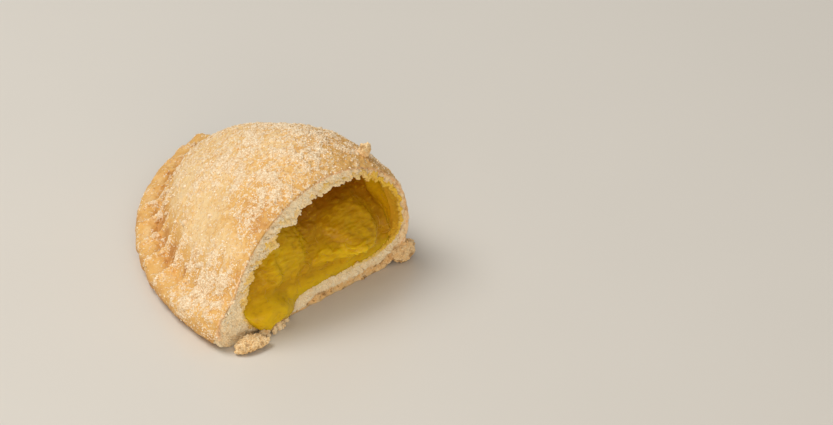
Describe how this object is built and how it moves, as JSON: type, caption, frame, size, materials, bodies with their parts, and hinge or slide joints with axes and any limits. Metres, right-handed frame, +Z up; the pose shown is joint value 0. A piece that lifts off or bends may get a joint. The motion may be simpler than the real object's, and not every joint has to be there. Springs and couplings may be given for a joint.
{
  "type": "halved pineapple empanada",
  "caption": "Half of a sugared, fork-crimped turnover, cut open across the middle, with a baked crust round chunky pineapple filling.",
  "frame": {"origin": "on the flat base, in the middle of the plan's box: the cut plane is 36.5 mm towards -Y, the fold's outermost line 33 mm towards +X", "axes": "+Z up from the flat base; the cut face looks along -Y and the tapered tip is at +Y; +X runs from the crimped edge to the fold"},
  "size_m": [0.0658, 0.079, 0.0374],
  "materials": {
    "baked_crust": "baked shortcrust, golden tan and matt, browner along the crimps and fold, pale and crumbly where cut, strewn with grains of sugar",
    "pineapple_filling": "wet amber yellow jam with soft translucent chunks of fruit and fine fibres",
    "crumb": "pale dry crumb of the crust"
  },
  "bodies": {
    "root": {"crust": "baked_crust", "filling": "pineapple_filling", "crust_flake": "crumb"}
  },
  "joints": []
}
